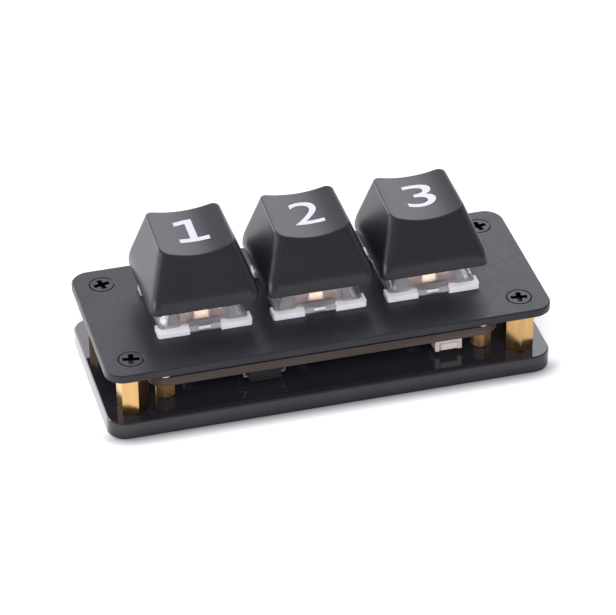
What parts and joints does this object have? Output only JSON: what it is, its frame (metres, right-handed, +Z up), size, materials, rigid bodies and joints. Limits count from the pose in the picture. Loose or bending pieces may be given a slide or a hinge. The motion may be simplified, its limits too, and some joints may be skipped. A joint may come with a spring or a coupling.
{
  "type": "programmable keypad",
  "caption": "Compact programmable keypad: a row of sprung push keys with sculpted caps on clear-topped switches, between a metal switch plate and a base plate held apart by brass pillars.",
  "frame": {"origin": "middle of the base plate's underside, which lies on the table", "axes": "+X along the row of keys, +Y to the back, where the USB port is, +Z up"},
  "size_m": [0.0738, 0.031, 0.0265],
  "materials": {
    "satin_black_metal": "satin",
    "gloss_black_acrylic": "gloss",
    "board_laminate": "satin",
    "pillar_brass": "polished",
    "black_screw_steel": "satin",
    "bright_steel": "polished",
    "chip_black": "matte",
    "cream_plastic": "satin",
    "white_plastic": "satin",
    "clear_plastic": "clear gloss",
    "stem_brown_plastic": "satin",
    "spring_steel": "polished",
    "contact_copper": "polished",
    "contact_gold": "polished",
    "ceramic": "matte",
    "solder_tin": "satin",
    "cap_plastic": "satin"
  },
  "bodies": {
    "base": {"top_plate": "satin_black_metal", "base_plate": "gloss_black_acrylic", "circuit_board": "board_laminate", "corner_pillars": "pillar_brass", "board_pillars": "pillar_brass", "top_plate_screws": "black_screw_steel", "base_plate_screws": "black_screw_steel", "board_pillar_screws": "black_screw_steel", "board_screws": "bright_steel", "microcontroller": "chip_black", "flash_chip": "chip_black", "flash_chip_leads": "solder_tin", "voltage_regulator": "chip_black", "regulator_leads": "solder_tin", "crystal": "bright_steel", "chip_capacitors": "ceramic", "chip_resistors": "chip_black", "key_lights": "white_plastic", "solder_joints": "solder_tin", "usb_port_shell": "bright_steel", "usb_port_tongue": "chip_black", "usb_port_contacts": "contact_gold", "boot_button_body": "cream_plastic", "switch_lower_housing_1": "white_plastic", "switch_upper_housing_1": "clear_plastic", "switch_spring_1": "spring_steel", "switch_contact_leaf_1": "contact_copper", "switch_fixed_contact_1": "contact_copper", "switch_lower_housing_2": "white_plastic", "switch_upper_housing_2": "clear_plastic", "switch_spring_2": "spring_steel", "switch_contact_leaf_2": "contact_copper", "switch_fixed_contact_2": "contact_copper", "switch_lower_housing_3": "white_plastic", "switch_upper_housing_3": "clear_plastic", "switch_spring_3": "spring_steel", "switch_contact_leaf_3": "contact_copper", "switch_fixed_contact_3": "contact_copper"},
    "key_1": {"keycap_1": "cap_plastic", "switch_stem_1": "stem_brown_plastic"},
    "key_2": {"keycap_2": "cap_plastic", "switch_stem_2": "stem_brown_plastic"},
    "key_3": {"keycap_3": "cap_plastic", "switch_stem_3": "stem_brown_plastic"},
    "boot_button": {"boot_button_plunger": "cream_plastic"}
  },
  "joints": [
    {"name": "key_1_press", "type": "slide", "parent": "base", "child": "key_1", "axis": [0, 0, -1], "range_m": [0, 0.004], "stiffness_N_per_m": 87.5, "springref_m": -0.0034, "deforming": ["switch_spring_1"]},
    {"name": "key_2_press", "type": "slide", "parent": "base", "child": "key_2", "axis": [0, 0, -1], "range_m": [0, 0.004], "stiffness_N_per_m": 87.5, "springref_m": -0.0034, "deforming": ["switch_spring_2"]},
    {"name": "key_3_press", "type": "slide", "parent": "base", "child": "key_3", "axis": [0, 0, -1], "range_m": [0, 0.004], "stiffness_N_per_m": 87.5, "springref_m": -0.0034, "deforming": ["switch_spring_3"]},
    {"name": "boot_button_press", "type": "slide", "parent": "base", "child": "boot_button", "axis": [0, 1, 0], "range_m": [0, 0.00025], "stiffness_N_per_m": 2000, "springref_m": -0.0003}
  ]
}
